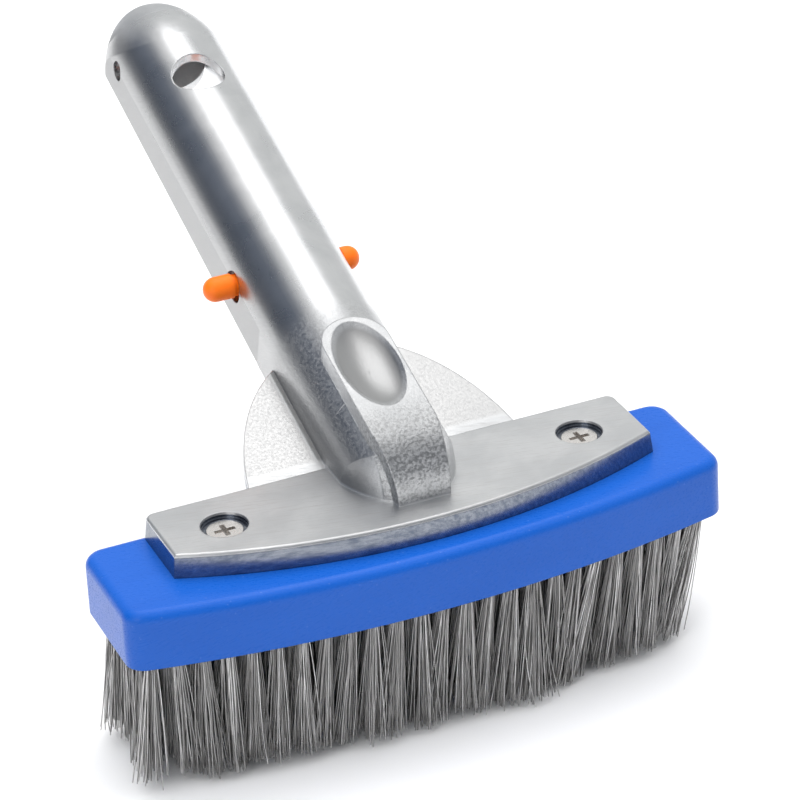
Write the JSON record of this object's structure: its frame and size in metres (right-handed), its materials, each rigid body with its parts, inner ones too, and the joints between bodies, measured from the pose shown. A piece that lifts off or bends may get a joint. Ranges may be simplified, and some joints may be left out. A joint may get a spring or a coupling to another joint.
{
  "type": "pool wall brush",
  "caption": "Bowed brush head with wire tufts and a leaning hollow handle socket that snaps into a pole with spring buttons.",
  "frame": {"origin": "on the axis of the leaning spigot, level with the snap buttons", "axes": "+X along the brush head, +Y away from the head towards the end of the spigot, +Z out of the back of the head, away from the bristles"},
  "size_m": [0.1384, 0.1831, 0.1053],
  "materials": {
    "cast_aluminium": "die cast, satin, ground on the sides of the spigot",
    "blue_plastic": "glossy moulded",
    "orange_plastic": "glossy moulded",
    "stainless_screw": "bright stainless steel",
    "steel_wire": "fine drawn stainless wire",
    "anchor_wire": "flat drawn wire"
  },
  "bodies": {
    "handle": {"handle_casting": "cast_aluminium", "brush_block": "blue_plastic", "screw_left": "stainless_screw", "screw_right": "stainless_screw", "clip_bridge": "orange_plastic", "bristle_row_1": "steel_wire", "bristle_row_2": "steel_wire", "bristle_row_3": "steel_wire", "bristle_row_4": "steel_wire", "bristle_row_5": "steel_wire", "bristle_row_6": "steel_wire", "anchor_row_1": "anchor_wire", "anchor_row_2": "anchor_wire", "anchor_row_3": "anchor_wire", "anchor_row_4": "anchor_wire", "anchor_row_5": "anchor_wire", "anchor_row_6": "anchor_wire"},
    "left_button": {"clip_leg_left": "orange_plastic"},
    "right_button": {"clip_leg_right": "orange_plastic"}
  },
  "joints": [
    {"name": "left_button_flex", "type": "hinge", "parent": "handle", "child": "left_button", "pos_m": [-0.00915, 0.03514, 0.01189], "axis": [0, -0.3206, 0.9472], "range_deg": [0, 10.7], "stiffness_Nm_per_rad": 1.2, "springref_deg": -2.86},
    {"name": "right_button_flex", "type": "hinge", "parent": "handle", "child": "right_button", "pos_m": [0.00685, 0.03514, 0.01189], "axis": [0, 0.3206, -0.9472], "range_deg": [0, 7.1], "stiffness_Nm_per_rad": 1.2, "springref_deg": -2.86}
  ]
}
